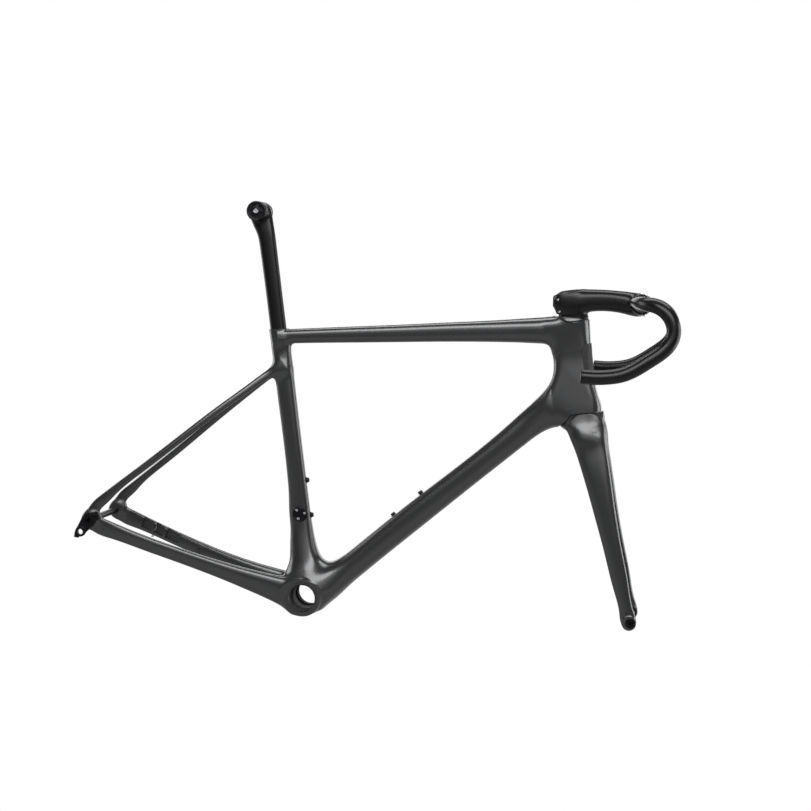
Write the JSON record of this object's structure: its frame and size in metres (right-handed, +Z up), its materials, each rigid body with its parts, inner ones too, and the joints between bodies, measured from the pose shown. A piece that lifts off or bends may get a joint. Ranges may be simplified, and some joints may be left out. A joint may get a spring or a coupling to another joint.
{
  "type": "bicycle frame",
  "caption": "Carbon road frameset with fork, one-piece drop bar cockpit, aero seatpost with rail clamp, headset and thru-axles.",
  "frame": {"origin": "centre of the bottom bracket bore", "axes": "+X forward, +Y to the rider's left along the bottom bracket, +Z up with the wheel axles level"},
  "size_m": [1.0213, 0.4582, 0.7248],
  "materials": {
    "frame_paint": "satin graphite lacquer over moulded carbon",
    "black_carbon": "satin black carbon",
    "black_alloy": "black anodised",
    "raw_alloy": "satin machined",
    "fastener_steel": "bright",
    "grommet_rubber": "matte"
  },
  "bodies": {
    "frame": {"head_tube": "frame_paint", "top_tube": "frame_paint", "down_tube": "frame_paint", "seat_tube": "frame_paint", "bb_shell": "frame_paint", "bb_sleeve": "raw_alloy", "chainstay_right": "frame_paint", "chainstay_left": "frame_paint", "seatstay_right": "frame_paint", "seatstay_left": "frame_paint", "dropout_right": "frame_paint", "dropout_left": "frame_paint", "derailleur_hanger": "black_alloy", "hanger_bolt": "black_alloy", "derailleur_mount_cover": "black_alloy", "cover_screws": "fastener_steel", "bottle_rivnuts": "black_alloy", "bottle_bolts": "black_alloy", "hose_grommet": "grommet_rubber", "brake_mount_inserts": "fastener_steel", "seatpost_wedge": "black_alloy", "wedge_bolt": "fastener_steel", "head_tube_guard": "black_carbon", "upper_bearing_outer": "fastener_steel", "lower_bearing_outer": "fastener_steel"},
    "fork": {"steerer": "black_carbon", "fork_crown": "frame_paint", "fork_leg_right": "frame_paint", "fork_leg_left": "frame_paint", "fork_tip_inserts": "black_alloy", "crown_race": "black_alloy", "lower_bearing_inner": "fastener_steel", "upper_bearing_inner": "fastener_steel", "compression_ring": "black_alloy", "headset_cover": "frame_paint", "stem_spacer": "black_carbon", "stem": "black_carbon", "stem_faceplate": "black_carbon", "faceplate_bolts": "fastener_steel", "pinch_bolts": "fastener_steel", "top_cap": "black_carbon", "top_cap_bolt": "fastener_steel", "steerer_expander": "black_alloy", "handlebar": "black_carbon", "bar_end_plugs": "black_alloy"},
    "bearing_cages": {"upper_bearing_balls": "fastener_steel", "lower_bearing_balls": "fastener_steel"},
    "seatpost": {"seatpost": "black_carbon"},
    "rail_clamp": {"rail_cradle": "black_alloy", "rail_jaws": "black_alloy", "rail_clamp_bolt": "fastener_steel", "rail_clamp_nut": "fastener_steel"},
    "rear_axle": {"rear_axle": "black_alloy"},
    "front_axle": {"front_axle": "black_alloy"}
  },
  "joints": [
    {"name": "steering", "type": "hinge", "parent": "frame", "child": "fork", "pos_m": [0.44, 0, 0.417], "axis": [-0.284, 0, 0.9588], "range_deg": [-60, 60]},
    {"name": "cage_turn", "type": "hinge", "parent": "frame", "child": "bearing_cages", "pos_m": [0.44, 0, 0.417], "axis": [-0.284, 0, 0.9588], "range_deg": [-30, 30]},
    {"name": "seatpost_height", "type": "slide", "parent": "frame", "child": "seatpost", "axis": [-0.2823, 0, 0.9593], "range_m": [-0.11, 0.04]},
    {"name": "saddle_tilt", "type": "hinge", "parent": "seatpost", "child": "rail_clamp", "pos_m": [-0.1991, 0, 0.67282], "axis": [0, 1, 0], "range_deg": [-12, 12]},
    {"name": "rear_axle_pull", "type": "slide", "parent": "frame", "child": "rear_axle", "axis": [0, 1, 0], "range_m": [0, 0.335]},
    {"name": "front_axle_pull", "type": "slide", "parent": "fork", "child": "front_axle", "axis": [0, 1, 0], "range_m": [0, 0.255]}
  ],
  "couplings": [
    {"joint": "cage_turn", "follows": "steering", "ratio": 0.474}
  ]
}
